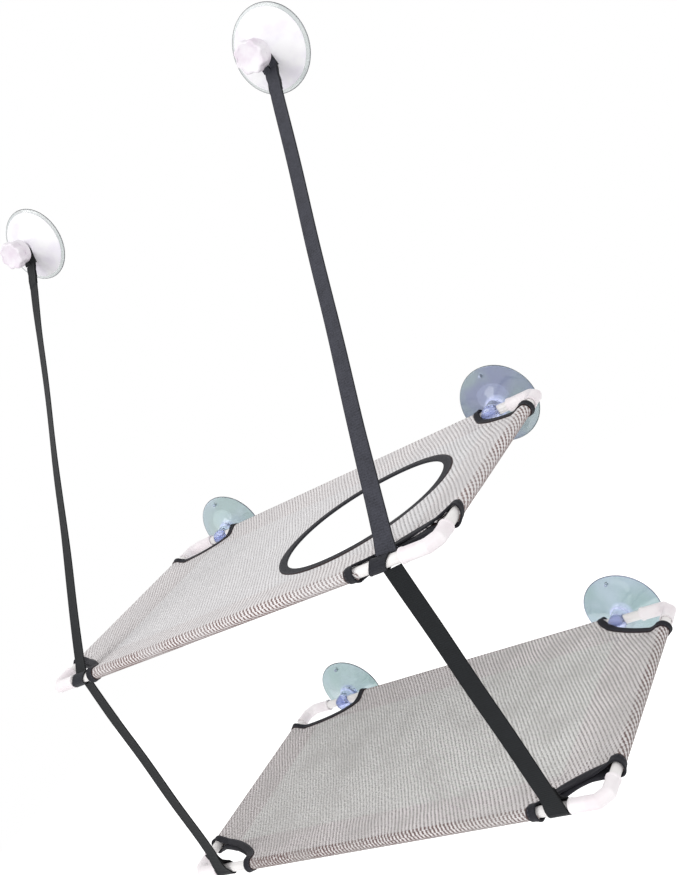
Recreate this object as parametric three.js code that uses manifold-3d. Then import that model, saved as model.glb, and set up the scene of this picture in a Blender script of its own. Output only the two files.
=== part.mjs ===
// Two-tier cat window hammock: mesh shelves on tube frames, hung from suction cups by webbing straps.
// Millimetres, +Z up, the glass is the plane Y = 0 and the room is on its -Y side.
// X = 0 is the middle of the width, Z = 0 is the height of the upper shelf's tubes.

import * as THREE from 'three';
import { mergeVertices } from 'three/addons/utils/BufferGeometryUtils.js';
import Module from 'manifold-3d';

const wasm = await Module();
wasm.setup();

// Frames: distances between tube axes
const frameWidth = 580;
const frameDepth = 308;
const shelfDrop = 293;
const hangHeight = 459;
const glassToTube = 25;

// Clearances
const fitGap = 0.3;
const turnGap = 0.35;
const loopGap = 0.5;
const cutOverrun = 5;

// Tubes and corner elbows
const tubeRadius = 5.5;
const tubeWall = 1;
const elbowWall = 1.5;
const elbowRimRaise = 0.5;
const elbowRimLength = 3;
const elbowLeg = 38;
const elbowBevel = 9;
const socketStop = 12;
const tubeEndGap = 0.5;

// Suction cups
const cupRadius = 47.5;
const cupRimThickness = 1.6;
const cupSealWidth = 4;
const cupHollowDepth = 5;
const cupShoulderDepth = 15;
const cupToElbow = { top: 25.5, upper: 22.5, lower: 30.5 };
const neckWall = 4.65;
const neckTipWall = 5.5;
const tabRadius = 2.2;
const tabLength = 7;
const tabInset = 9;

// Cover, strap eye, knob and bolt on the top cups
const coverRadius = 43;
const coverWall = 1.8;
const coverStandoff = 0.6;
const bossRadius = 11;
const bossRaise = 3.9;
const strapEyeRadius = 9;
const strapEyeThickness = 3.9;
const knobHubRadius = 9;
const knobHubLength = 2.5;
const knobBarrelRadius = 15.5;
const knobBarrelLength = 10;
const knobLobeRadius = 18;
const knobLobeLength = 12;
const knobLobeDepth = 1.7;
const knobLobes = 8;
const knobEdge = 1.5;
const knobFaceWall = 5;
const studRadius = 3;
const studEmbed = 6;

// Webbing straps
const webbingWidth = 20;
const webbingThickness = 1.4;
const strapToElbow = 6.5;
const footLoopToElbow = { left: 5, right: 1 };
const hitchWidth = 22;
const hitchToElbow = { left: 0.5, right: 15.5 };
const strapTabWidth = 13;
const strapTabBelowKnob = 4.5;
const stitchedLength = 30;
const loopTaper = 17;

// Mesh cloth, its hems and its taped corner cut-outs
const clothThickness = 1.2;
const sleeveWall = 0.9;
const backHem = 40;
const frontHem = 43;
const upperSideHems = { left: 67, right: 46 };
const lowerSideHems = { left: 43, right: 60 };
const seamWidth = 6;
const seamHalfThickness = 0.9;
const pocketTipHalfThickness = 0.4;
const bindingWidth = 10;
const bindingExtraThickness = 0.8;

// Corner cut-outs: how far each clears the neck or strap beside it and the elbow, and its curve's power
const cutouts = {
  upper_back_left: { pastFitting: 18, pastElbow: 2, power: 2.6 },
  upper_back_right: { pastFitting: 3, pastElbow: 2, power: 2.2 },
  upper_front_left: { pastFitting: 15.5, pastElbow: 8, power: 2 },
  upper_front_right: { pastFitting: 17.5, pastElbow: 15, power: 1.6 },
  lower_back_left: { pastFitting: 29, pastElbow: 2, power: 2.4 },
  lower_back_right: { pastFitting: 9, pastElbow: 4, power: 1.5 },
  lower_front_left: { pastFitting: 30, pastElbow: 9, power: 1.5 },
  lower_front_right: { pastFitting: 15, pastElbow: 5, power: 1.4 },
};

// Oval hole in the upper shelf, its long axis turned in the shelf, and the tape round it
const holeTurnDegrees = 23.4;
const holeLengthShare = 1.125;
const holeToSideSeam = 13;
const holeToBackSeam = 16;
const holeToFrontSeam = 8;
const holeBindingWidth = 11;
const holeBindingThickness = 2.6;

// Facets round one turn, and for each half turn of a drawn arc
const tubeSides = 12;
const cupSides = 28;
const strapSides = 16;
const knobSides = 32;
const cutoutSides = 32;
const arcSteps = 6;
const holeArcSteps = 18;

// Materials
const white = { color: 0xf4f2f1, roughness: 0.35, metalness: 0 };
const mesh = { color: 0xbdb7b3, roughness: 0.9, metalness: 0 };
const tape = { color: 0x2f3035, roughness: 0.85, metalness: 0 };
const webbing = { color: 0x35363b, roughness: 0.8, metalness: 0 };
const clear = { color: 0xa9bcc4, roughness: 0.15, metalness: 0, transparent: true, opacity: 0.5 };
const steel = { color: 0xb8babd, roughness: 0.3, metalness: 1 };

const axisX = new THREE.Vector3(1, 0, 0);
const axisY = new THREE.Vector3(0, 1, 0);
const axisZ = new THREE.Vector3(0, 0, 1);

// Closed geometry to a solid: only positions, merged, without collapsed triangles
function solid(geometry) {
  const bare = geometry.index ? geometry.toNonIndexed() : geometry.clone();
  bare.deleteAttribute('normal');
  bare.deleteAttribute('uv');
  const merged = mergeVertices(bare);
  const index = merged.index.array;
  const triangles = [];
  for (let i = 0; i < index.length; i += 3) {
    const [a, b, c] = [index[i], index[i + 1], index[i + 2]];
    if (a !== b && b !== c && c !== a) triangles.push(a, b, c);
  }
  return new wasm.Manifold(new wasm.Mesh({
    numProp: 3,
    vertProperties: new Float32Array(merged.attributes.position.array),
    triVerts: new Uint32Array(triangles),
  }));
}

// Solid back to a geometry with flat normals
function geometryOf(body) {
  const result = body.getMesh();
  const geometry = new THREE.BufferGeometry();
  geometry.setAttribute('position', new THREE.BufferAttribute(new Float32Array(result.vertProperties), 3));
  geometry.setIndex(new THREE.BufferAttribute(new Uint32Array(result.triVerts), 1));
  geometry.computeVertexNormals();
  return geometry;
}

function piece(name, body, finish) {
  const item = new THREE.Mesh(geometryOf(body), new THREE.MeshStandardMaterial(finish));
  item.name = name;
  return item;
}

function join(bodies) {
  return bodies.reduce((sum, body) => sum.add(body));
}

// Round bar between two points
function bar(start, end, radius, sides = tubeSides) {
  const along = new THREE.Vector3().subVectors(end, start);
  const geometry = new THREE.CylinderGeometry(radius, radius, along.length(), sides);
  const turn = new THREE.Quaternion().setFromUnitVectors(axisY, along.clone().normalize());
  geometry.applyQuaternion(turn);
  geometry.translate(...new THREE.Vector3().addVectors(start, end).multiplyScalar(0.5));
  return solid(geometry);
}

function ball(centre, radius, sides = tubeSides) {
  const geometry = new THREE.SphereGeometry(radius, sides, sides / 2);
  geometry.translate(...centre);
  return solid(geometry);
}

function block(sizeX, sizeY, sizeZ, centre) {
  const geometry = new THREE.BoxGeometry(sizeX, sizeY, sizeZ);
  geometry.translate(...centre);
  return solid(geometry);
}

// Closed outline extruded both ways along the third axis of a frame at the centre
function prism(shape, length, centre, across, up, curveSegments = arcSteps) {
  const geometry = new THREE.ExtrudeGeometry(shape, { depth: length, bevelEnabled: false, curveSegments });
  geometry.translate(0, 0, -length / 2);
  const along = new THREE.Vector3().crossVectors(across, up);
  geometry.applyMatrix4(new THREE.Matrix4().makeBasis(across, up, along));
  geometry.translate(...centre);
  return solid(geometry);
}

// Profile of [radius, distance from the glass] turned about an axis that points into the room
function turned(profile, sides = cupSides) {
  const geometry = new THREE.LatheGeometry(profile.map(([r, d]) => new THREE.Vector2(r, d)), sides);
  geometry.rotateX(Math.PI);
  return solid(geometry);
}

// A loop of cloth round a tube that closes at a seam: a circle drawn out to a narrow tip
function teardrop(radius, reach, tipHalf, length, centre, inward, up) {
  const distance = Math.hypot(reach, tipHalf);
  const touch = Math.atan2(tipHalf, reach) + Math.acos(radius / distance);
  const shape = new THREE.Shape();
  shape.moveTo(reach, -tipHalf);
  shape.lineTo(reach, tipHalf);
  shape.absarc(0, 0, radius, touch, 2 * Math.PI - touch, false);
  shape.closePath();
  return prism(shape, length, centre, inward, up);
}

// Superellipse about a frame corner, standing through the shelf
function cornerCutter(reachX, reachY, power, centre, height) {
  const shape = new THREE.Shape();
  for (let i = 0; i < cutoutSides; i += 1) {
    const angle = (2 * Math.PI * i) / cutoutSides;
    const cosine = Math.cos(angle);
    const sine = Math.sin(angle);
    const x = reachX * Math.sign(cosine) * Math.abs(cosine) ** (2 / power);
    const y = reachY * Math.sign(sine) * Math.abs(sine) ** (2 / power);
    if (i === 0) shape.moveTo(x, y);
    else shape.lineTo(x, y);
  }
  shape.closePath();
  return prism(shape, height, centre, axisX, axisY);
}

// Oval standing through the shelf, its long axis turned towards the back right
function oval(longRadius, shortRadius, height, centre) {
  const shape = new THREE.Shape();
  shape.absellipse(0, 0, longRadius, shortRadius, 0, 2 * Math.PI, false, holeTurn);
  return prism(shape, height, centre, axisX, axisY, holeArcSteps);
}

// Sizes that several pieces share
const halfWidth = frameWidth / 2;
const socketRadius = tubeRadius + fitGap;
const elbowRadius = socketRadius + elbowWall;
const elbowRimRadius = elbowRadius + elbowRimRaise;
const neckRadius = tubeRadius + turnGap + neckWall;
const neckTip = glassToTube + tubeRadius + turnGap + neckTipWall;
const elbowMouth = halfWidth - elbowLeg;
const sleeveRadius = socketRadius + sleeveWall;
const hitchOuter = socketRadius + webbingThickness;
const topLoopInner = hitchOuter + fitGap;
const strapX = elbowMouth - strapToElbow - webbingWidth / 2;
const holeTurn = THREE.MathUtils.degToRad(holeTurnDegrees);
const holeDepthSpan = frameDepth - backHem - frontHem - holeToBackSeam - holeToFrontSeam;
const holeSpanShare = Math.hypot(holeLengthShare * Math.sin(holeTurn), Math.cos(holeTurn));
const holeShortRadius = holeDepthSpan / 2 / holeSpanShare;
const holeLongRadius = holeLengthShare * holeShortRadius;
const holeReachX = Math.hypot(holeLongRadius * Math.cos(holeTurn), holeShortRadius * Math.sin(holeTurn));
const holeCentreX = halfWidth - upperSideHems.right - holeToSideSeam - holeReachX;
const holeCentreDepth = backHem + holeToBackSeam + holeDepthSpan / 2;
const cutterHeight = 2 * (sleeveRadius + bindingExtraThickness + cutOverrun);
const coverSeat = cupShoulderDepth + fitGap;
const bossTop = coverSeat + coverWall + bossRaise;
const strapEyeDepth = bossTop + fitGap + strapEyeThickness / 2;
const knobBack = bossTop + strapEyeThickness + 2 * fitGap;
const knobBarrelStart = knobBack + knobHubLength;
const knobLobeStart = knobBarrelStart + knobBarrelLength;
const knobFront = knobLobeStart + knobLobeLength;
const studStart = cupShoulderDepth - studEmbed;
const studEnd = knobFront - knobFaceWall;
const frontY = -glassToTube - frameDepth;
const corners = [
  { place: 'back_left', side: 'left', sideX: -1, row: 0 },
  { place: 'back_right', side: 'right', sideX: 1, row: 0 },
  { place: 'front_left', side: 'left', sideX: -1, row: 1 },
  { place: 'front_right', side: 'right', sideX: 1, row: 1 },
];

function cupX(row) {
  return elbowMouth - cupToElbow[row];
}

function cornerPoint(corner) {
  return new THREE.Vector3(corner.sideX * halfWidth, -corner.row * frameDepth, 0);
}

// Hem loops round the four tubes of one shelf, each reaching in to its seam
function hemLoops(hems, radius, tipHalf, shorten, lengthX, lengthY) {
  const back = teardrop(
    radius, backHem - shorten, tipHalf, lengthX, new THREE.Vector3(), axisY.clone().negate(), axisZ,
  );
  const front = teardrop(
    radius, frontHem - shorten, tipHalf, lengthX, new THREE.Vector3(0, -frameDepth, 0), axisY, axisZ,
  );
  const left = teardrop(
    radius, hems.left - shorten, tipHalf, lengthY,
    new THREE.Vector3(-halfWidth, -frameDepth / 2, 0), axisX, axisZ,
  );
  const right = teardrop(
    radius, hems.right - shorten, tipHalf, lengthY,
    new THREE.Vector3(halfWidth, -frameDepth / 2, 0), axisX.clone().negate(), axisZ,
  );
  return join([back, front, left, right]);
}

// Shelf cloth with hems all round, before its corners and hole are cut
function shelfCloth(hems, extra) {
  const sheet = block(
    frameWidth - hems.left - hems.right + seamWidth,
    frameDepth - backHem - frontHem + seamWidth,
    clothThickness + 2 * extra,
    new THREE.Vector3((hems.left - hems.right) / 2, -(frameDepth + backHem - frontHem) / 2, 0),
  );
  const loops = hemLoops(hems, sleeveRadius + extra, seamHalfThickness + extra, 0, frameWidth, frameDepth);
  return sheet.add(loops);
}

// Hollows that the tubes pass through, open at the cut-outs
function hemPockets(hems) {
  return hemLoops(hems, socketRadius, pocketTipHalfThickness, seamWidth, frameWidth, frameDepth);
}

// How far the neck or the webbing beside a corner reaches along the tube
function fittingReach(tier, corner) {
  if (corner.row === 0) return halfWidth - cupX(tier) + neckRadius;
  if (tier === 'lower') return elbowLeg + footLoopToElbow[corner.side] + webbingWidth;
  return elbowLeg + Math.max(strapToElbow + webbingWidth, hitchToElbow[corner.side] + hitchWidth);
}

function cutoutAt(tier, corner, grow) {
  const { pastFitting, pastElbow, power } = cutouts[`${tier}_${corner.place}`];
  const reachX = fittingReach(tier, corner) + pastFitting + grow;
  return cornerCutter(reachX, elbowLeg + pastElbow + grow, power, cornerPoint(corner), cutterHeight);
}

// One elbow: two bored legs with a bevelled turn between them and a rim at each mouth
function elbow(corner) {
  const centre = cornerPoint(corner);
  const legX = new THREE.Vector3(-corner.sideX, 0, 0);
  const legY = new THREE.Vector3(0, corner.row ? 1 : -1, 0);
  const at = (direction, distance) => centre.clone().addScaledVector(direction, distance);
  const bevelX = at(legX, elbowBevel);
  const bevelY = at(legY, elbowBevel);
  const body = [ball(bevelX, elbowRadius), ball(bevelY, elbowRadius), bar(bevelX, bevelY, elbowRadius)];
  const bores = [];
  for (const leg of [legX, legY]) {
    body.push(bar(at(leg, elbowBevel), at(leg, elbowLeg), elbowRadius));
    body.push(bar(at(leg, elbowLeg - elbowRimLength), at(leg, elbowLeg), elbowRimRadius));
    bores.push(bar(at(leg, socketStop), at(leg, elbowLeg + cutOverrun), socketRadius));
  }
  return join(body).subtract(join(bores));
}

function tube(start, end) {
  const along = new THREE.Vector3().subVectors(end, start).normalize();
  const outside = bar(start, end, tubeRadius);
  const inside = bar(
    start.clone().addScaledVector(along, -cutOverrun),
    end.clone().addScaledVector(along, cutOverrun),
    tubeRadius - tubeWall,
  );
  return outside.subtract(inside);
}

// A shelf stands in its own frame: back tube axis at Y = 0, Z = 0
function shelf(tier, hems, hasHole) {
  const group = new THREE.Group();
  const tubeStop = socketStop + tubeEndGap;
  for (const [side, row] of [['back', 0], ['front', 1]]) {
    const start = new THREE.Vector3(-halfWidth + tubeStop, -row * frameDepth, 0);
    const end = new THREE.Vector3(halfWidth - tubeStop, -row * frameDepth, 0);
    group.add(piece(`${tier}_${side}_tube`, tube(start, end), white));
  }
  for (const [side, sideX] of [['left', -1], ['right', 1]]) {
    const start = new THREE.Vector3(sideX * halfWidth, -frameDepth + tubeStop, 0);
    const end = new THREE.Vector3(sideX * halfWidth, -tubeStop, 0);
    group.add(piece(`${tier}_${side}_tube`, tube(start, end), white));
  }

  const pockets = hemPockets(hems);
  let cloth = shelfCloth(hems, 0);
  const tapeStock = shelfCloth(hems, bindingExtraThickness);
  for (const corner of corners) {
    group.add(piece(`${tier}_${corner.place}_elbow`, elbow(corner), white));
    cloth = cloth.subtract(cutoutAt(tier, corner, bindingWidth + fitGap));
    const band = cutoutAt(tier, corner, bindingWidth).subtract(cutoutAt(tier, corner, 0));
    const binding = tapeStock.intersect(band).subtract(pockets);
    group.add(piece(`${tier}_${corner.place}_binding`, binding, tape));
  }
  cloth = cloth.subtract(pockets);
  if (hasHole) {
    const centre = new THREE.Vector3(holeCentreX, -holeCentreDepth, 0);
    const holeOval = (grow, height) => oval(holeLongRadius + grow, holeShortRadius + grow, height, centre);
    cloth = cloth.subtract(holeOval(fitGap, cutterHeight));
    const ring = holeOval(0, holeBindingThickness).subtract(holeOval(-holeBindingWidth, cutterHeight));
    group.add(piece('hole_binding', ring, tape));
  }
  group.add(piece(`${tier}_mesh_shelf`, cloth, mesh));
  return group;
}

// Outer face of a cup from the shoulder to the rim: shares of the way out, and of the height above the rim
const cupFaceShares = [[0, 1], [0.08, 0.84], [0.24, 0.6], [0.5, 0.32], [0.76, 0.12], [1, 0]];

function cupFace() {
  const reach = cupRadius - neckRadius;
  const height = cupShoulderDepth - cupRimThickness;
  return cupFaceShares.map(([out, up]) => [neckRadius + reach * out, cupRimThickness + height * up]);
}

// Distance of the cup's outer face from the glass at a radius
function cupFaceDepth(radius) {
  const face = cupFace();
  for (let i = 1; i < face.length; i += 1) {
    const [r0, d0] = face[i - 1];
    const [r1, d1] = face[i];
    if (radius <= r1) return d0 + ((d1 - d0) * Math.max(radius - r0, 0)) / (r1 - r0);
  }
  return cupRimThickness;
}

// Hollow under a cup: shares of the way out to the sealing ring, and of the hollow's depth
const cupHollowShares = [[0, 1], [0.5, 0.75], [1, 0]];

function cupProfile() {
  return [
    ...cupHollowShares.map(([out, deep]) => [(cupRadius - cupSealWidth) * out, cupHollowDepth * deep]),
    [cupRadius, 0],
    ...cupFace().reverse(),
  ];
}

// Release tab that stands up near the top of the rim
function releaseTab() {
  const root = new THREE.Vector3(0, -cupRimThickness, cupRadius - tabInset);
  return bar(root, root.clone().addScaledVector(axisY, -tabLength), tabRadius, strapSides / 2);
}

// Cup with a blunt neck that the back tube passes through
function tubeCup() {
  const blunt = neckTipWall / 2;
  const neck = [[neckRadius, neckTip - blunt], [neckRadius - blunt, neckTip], [0, neckTip]];
  const reach = neckRadius + cutOverrun;
  const eye = bar(
    new THREE.Vector3(-reach, -glassToTube, 0),
    new THREE.Vector3(reach, -glassToTube, 0),
    tubeRadius + turnGap,
  );
  return turned([...cupProfile(), ...neck]).add(releaseTab()).subtract(eye);
}

// Cup whose neck holds the hanging bolt
function hangingCup() {
  const bore = bar(
    new THREE.Vector3(0, -studStart + turnGap, 0),
    new THREE.Vector3(0, -cupShoulderDepth - cutOverrun, 0),
    studRadius + turnGap,
  );
  return turned([...cupProfile(), [0, cupShoulderDepth]]).subtract(bore);
}

function stud() {
  return bar(new THREE.Vector3(0, -studStart, 0), new THREE.Vector3(0, -studEnd, 0), studRadius);
}

// Domed cover over a hanging cup: a thin shell that follows the cup's face and rests on its neck
const coverShares = [0.42, 0.55, 0.7, 0.85, 1];

function cover() {
  const hole = studRadius + turnGap;
  const stations = coverShares.map((share) => coverRadius * share);
  const inner = stations.map((r) => [r - coverWall / 2, cupFaceDepth(r - coverWall / 2) + coverStandoff]);
  const outer = stations.map((r) => [r, cupFaceDepth(r) + coverStandoff + coverWall]).reverse();
  const profile = [
    [hole, coverSeat], [neckRadius + coverWall, coverSeat], ...inner, ...outer,
    [bossRadius + coverWall, coverSeat + coverWall], [bossRadius, coverSeat + 2 * coverWall],
    [bossRadius, bossTop], [hole, bossTop], [hole, coverSeat],
  ];
  return turned(profile);
}

// Lobed screw knob with a blind bore for the bolt
function knob() {
  const outline = new THREE.Shape();
  for (let i = 0; i < knobSides; i += 1) {
    const angle = (2 * Math.PI * i) / knobSides;
    const radius = knobLobeRadius - (knobLobeDepth / 2) * (1 - Math.cos(knobLobes * angle));
    const x = radius * Math.cos(angle);
    const y = radius * Math.sin(angle);
    if (i === 0) outline.moveTo(x, y);
    else outline.lineTo(x, y);
  }
  outline.closePath();
  const lobeMiddle = new THREE.Vector3(0, -(knobLobeStart + knobFront) / 2, 0);
  const lobes = prism(outline, knobFront - knobLobeStart, lobeMiddle, axisX, axisZ);
  const core = turned([
    [0, knobBack], [knobHubRadius, knobBack], [knobHubRadius, knobBarrelStart],
    [knobBarrelRadius - knobEdge, knobBarrelStart], [knobBarrelRadius, knobBarrelStart + knobEdge],
    [knobBarrelRadius, knobFront - knobEdge], [0, knobFront - knobEdge],
  ]);
  const bore = bar(
    new THREE.Vector3(0, -knobBack + cutOverrun, 0),
    new THREE.Vector3(0, -studEnd - turnGap, 0),
    studRadius + turnGap,
  );
  return core.add(lobes).subtract(bore);
}

// Flat webbing from one point to another, its width nearest to X
function webbingRun(start, end, width, thickness) {
  const along = new THREE.Vector3().subVectors(end, start);
  const length = along.length();
  along.normalize();
  const across = axisX.clone().addScaledVector(along, -along.x).normalize();
  const through = new THREE.Vector3().crossVectors(along, across);
  const geometry = new THREE.BoxGeometry(width, thickness, length);
  geometry.applyMatrix4(new THREE.Matrix4().makeBasis(across, through, along));
  geometry.translate(...new THREE.Vector3().addVectors(start, end).multiplyScalar(0.5));
  return solid(geometry);
}

// Places of an upper strap: the eye on the bolt, the knee under the knob, the tube below
function upperStrapPoints(sideX) {
  const eye = new THREE.Vector3(sideX * cupX('top'), -strapEyeDepth, hangHeight);
  const knee = eye.clone().addScaledVector(axisZ, -knobBarrelRadius - strapTabBelowKnob);
  const foot = new THREE.Vector3(sideX * strapX, frontY, 0);
  const toFoot = new THREE.Vector3().subVectors(foot, knee).normalize();
  const end = foot.clone().addScaledVector(toFoot, -(topLoopInner + webbingThickness + fitGap));
  return { eye, knee, end, toFoot };
}

function upperStrap(sideX) {
  const { eye, knee, end, toFoot } = upperStrapPoints(sideX);
  const halfEye = axisY.clone().multiplyScalar(strapEyeThickness / 2);
  const ring = bar(eye.clone().sub(halfEye), eye.clone().add(halfEye), strapEyeRadius, strapSides);
  const tab = block(strapTabWidth, strapEyeThickness, eye.distanceTo(knee), eye.clone().lerp(knee, 1 / 2));
  const stitched = webbingRun(
    knee, knee.clone().addScaledVector(toFoot, stitchedLength), webbingWidth, 2 * webbingThickness,
  );
  const reach = axisY.clone().multiplyScalar(strapEyeThickness);
  const bore = bar(eye.clone().sub(reach), eye.clone().add(reach), studRadius + turnGap, strapSides);
  const run = webbingRun(knee, end, webbingWidth, webbingThickness);
  return join([ring, tab, stitched, run]).subtract(bore);
}

// Turn of webbing round the front tube that ties the straps to the shelf
function hitch(side, sideX) {
  const outerX = elbowMouth - hitchToElbow[side];
  const start = new THREE.Vector3(sideX * outerX, -frameDepth, 0);
  const end = new THREE.Vector3(sideX * (outerX - hitchWidth), -frameDepth, 0);
  const over = axisX.clone().multiplyScalar(sideX * cutOverrun);
  const inside = bar(start.clone().add(over), end.clone().sub(over), socketRadius, strapSides);
  return bar(start, end, hitchOuter, strapSides).subtract(inside);
}

// Sewn loop of webbing round a tube, drawn in to a flat strap along the given direction
function sewnLoop(centre, inner, towards) {
  const outer = inner + webbingThickness;
  const skin = teardrop(outer, outer + loopTaper, webbingThickness, webbingWidth, centre, towards, axisY);
  const hollow = teardrop(
    inner, inner + loopTaper / 2, webbingThickness / 4, webbingWidth + cutOverrun, centre, towards, axisY,
  );
  return skin.subtract(hollow);
}

// Lower strap: a loop over the turn on the upper tube, a flat run, and a loop on the lower tube
function lowerStrap(side, sideX) {
  const footX = elbowMouth - footLoopToElbow[side] - webbingWidth / 2;
  const top = new THREE.Vector3(sideX * strapX, frontY, 0);
  const foot = new THREE.Vector3(sideX * footX, frontY, -shelfDrop);
  const topLoop = sewnLoop(top, topLoopInner, axisZ.clone().negate());
  const footLoop = sewnLoop(foot, tubeRadius + loopGap, axisZ);
  const run = webbingRun(
    top.clone().addScaledVector(axisZ, -topLoopInner - loopTaper),
    foot.clone().addScaledVector(axisZ, tubeRadius + loopTaper),
    webbingWidth,
    webbingThickness,
  );
  return join([topLoop, run, footLoop]);
}

// Assembly
const hammock = new THREE.Group();

const upperShelf = shelf('upper', upperSideHems, true);
for (const [side, sideX] of [['left', -1], ['right', 1]]) {
  upperShelf.add(piece(`${side}_strap_hitch`, hitch(side, sideX), webbing));
}
upperShelf.position.set(0, -glassToTube, 0);
hammock.add(upperShelf);

const lowerShelf = shelf('lower', lowerSideHems, false);
lowerShelf.position.set(0, -glassToTube, -shelfDrop);
hammock.add(lowerShelf);

for (const [side, sideX] of [['left', -1], ['right', 1]]) {
  for (const [tier, height] of [['upper', 0], ['lower', -shelfDrop]]) {
    const cup = piece(`${tier}_shelf_${side}_cup`, tubeCup(), clear);
    cup.position.set(sideX * cupX(tier), 0, height);
    hammock.add(cup);
  }
  const hanger = new THREE.Group();
  hanger.add(piece(`top_${side}_cup`, hangingCup(), clear));
  hanger.add(piece(`top_${side}_cover`, cover(), white));
  hanger.add(piece(`top_${side}_stud`, stud(), steel));
  hanger.add(piece(`${side}_knob`, knob(), white));
  hanger.position.set(sideX * cupX('top'), 0, hangHeight);
  hammock.add(hanger);
  hammock.add(piece(`${side}_upper_strap`, upperStrap(sideX), webbing));
  hammock.add(piece(`${side}_lower_strap`, lowerStrap(side, sideX), webbing));
}

export default hammock;
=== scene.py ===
import math

import bmesh
import bpy
from mathutils import Matrix, Quaternion, Vector


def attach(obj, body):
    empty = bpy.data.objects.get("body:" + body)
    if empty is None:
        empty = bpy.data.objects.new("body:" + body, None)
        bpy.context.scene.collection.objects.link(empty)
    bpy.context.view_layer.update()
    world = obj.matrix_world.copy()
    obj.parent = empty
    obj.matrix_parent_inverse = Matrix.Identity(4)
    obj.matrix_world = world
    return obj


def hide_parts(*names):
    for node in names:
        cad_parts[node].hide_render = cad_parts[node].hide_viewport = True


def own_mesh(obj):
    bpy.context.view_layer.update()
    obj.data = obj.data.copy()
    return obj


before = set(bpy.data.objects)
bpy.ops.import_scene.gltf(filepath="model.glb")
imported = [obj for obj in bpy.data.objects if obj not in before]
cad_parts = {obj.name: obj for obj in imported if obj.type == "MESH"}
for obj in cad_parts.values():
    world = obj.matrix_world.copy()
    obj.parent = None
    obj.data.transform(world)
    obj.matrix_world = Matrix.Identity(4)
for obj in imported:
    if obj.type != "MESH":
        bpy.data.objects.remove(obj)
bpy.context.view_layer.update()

# Frame sizes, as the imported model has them
MM = 0.001
HALF_WIDTH = 290
DEPTH = 308
DROP = 293
HANG = 459
GLASS = 25
TUBE_R = 5.5
CUP_X = {"top": 226.5, "upper": 229.5, "lower": 221.5}
FRONT_Y = -GLASS - DEPTH
TIERS = {"upper": 0, "lower": -DROP}
ROWS = {"back": 0, "front": -DEPTH}
SIDES = {"left": -1, "right": 1}

# Cloth sizes: thickness, radius of its sleeve round a tube, spacing of its points, and depth of the panel's sag
CLOTH_T, SLEEVE_R, GRID, SAG = 0.9, 6.3, 5.0, 2.5
BACK_HEM, FRONT_HEM = 40, 43
SIDE_HEMS = {"upper": (67, 46), "lower": (43, 60)}
# Height of the panel over the shelf's plane at its seams, and depth of the flaps below it there
SEAM, FLAP = 0.5, 0.62
# Layers of a hem
TOP, TURN, BELOW = range(3)
# Corner cut-outs: reach along the back or front tube, reach along the side tube, power of the curve, and how much
# nearer to the corner the side mouth is below than on top
CUTS = {
    "upper_back_left": (84, 40, 2.4, 0), "upper_back_right": (75, 40, 1.8, 0),
    "upper_front_left": (73, 45, 1.3, 4), "upper_front_right": (93, 53, 1.15, 13),
    "lower_back_left": (104, 40, 2.0, 0), "lower_back_right": (86, 42, 1.3, 0),
    "lower_front_left": (93, 47, 1.5, 5), "lower_front_right": (74, 43, 1.4, 3),
}
# Where the two layers of a hem are bound together at a cut-out: lengths that the hem's loop shrinks to at the rim and
# 9 mm inside it, share of the tape's width that lies outside, and the same for its fold inside
BACK_BOUND = (16, 16, 0.68, 0.68)
BOUND = {
    "upper_back_left": BACK_BOUND, "upper_back_right": BACK_BOUND,
    "upper_front_left": (20, 20, 0.75, 0.75), "upper_front_right": (30, 12, 1.0, 1.35),
    "lower_back_left": BACK_BOUND, "lower_back_right": BACK_BOUND,
    "lower_front_left": (20, 20, 0.8, 0.8), "lower_front_right": (27, 12, 1.0, 1.35),
}
TAPE_W = 10
# How far the cloth's own edge lies inside the fold of its tape
EDGE_SET = 3.5
HOLE = {"x": 121.8, "y": -156.5, "long": 99.9, "short": 87.6, "turn": math.radians(23.4)}

UP = Vector((0, 0, 1))
EAST = Vector((1, 0, 0))
ROOM = Vector((0, -1, 0))


# Materials

# Settings of a node that spreads a value softly over 0 to 1, and of one that mixes colours
SOFT = {"interpolation_type": "SMOOTHSTEP"}
COLOUR = {"data_type": "RGBA"}


def linear(code):
    """An sRGB colour written as #RRGGBB, turned to the linear values that a shader takes."""
    parts = [int(code[i:i + 2], 16) / 255 for i in (1, 3, 5)]
    return [*(p / 12.92 if p <= 0.04045 else ((p + 0.055) / 1.055) ** 2.4 for p in parts), 1]


def add(tree, kind, inputs=(), **settings):
    """Adds one shader node with its settings, and with values or links by name or in the order of its inputs in use.

    A node given as a value links its first output in use, and a colour is given as hex.
    """
    made = tree.nodes.new("ShaderNode" + kind)
    for key, value in settings.items():
        setattr(made, key, value)
    if not isinstance(inputs, dict):
        inputs = dict(zip([i for i, socket in enumerate(made.inputs) if socket.enabled], inputs))
    for socket, value in inputs.items():
        if isinstance(value, bpy.types.Node):
            value = next(output for output in value.outputs if output.enabled)
        if isinstance(value, bpy.types.NodeSocket):
            tree.links.new(value, made.inputs[socket])
        else:
            made.inputs[socket].default_value = linear(value) if isinstance(value, str) else value
    return made


def emptied(owner):
    """The node tree of a new material or world, with nothing in it."""
    owner.use_nodes = True
    owner.node_tree.nodes.clear()
    return owner.node_tree


def new_material(name):
    made = bpy.data.materials.new(name)
    return made, emptied(made)


def surfaced(made, tone, height, strength, depth_mm, **values):
    """Ends a material with one Principled surface: its colour, a bump of some depth, and its plain values."""
    tree = made.node_tree
    bump = add(tree, "Bump", {"Strength": strength, "Distance": depth_mm * MM, "Height": height})
    values = {key.replace("_", " "): value for key, value in values.items()}
    surface = add(tree, "BsdfPrincipled", {"Base Color": tone, "Normal": bump, **values})
    add(tree, "OutputMaterial", {"Surface": surface})
    return made


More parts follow.
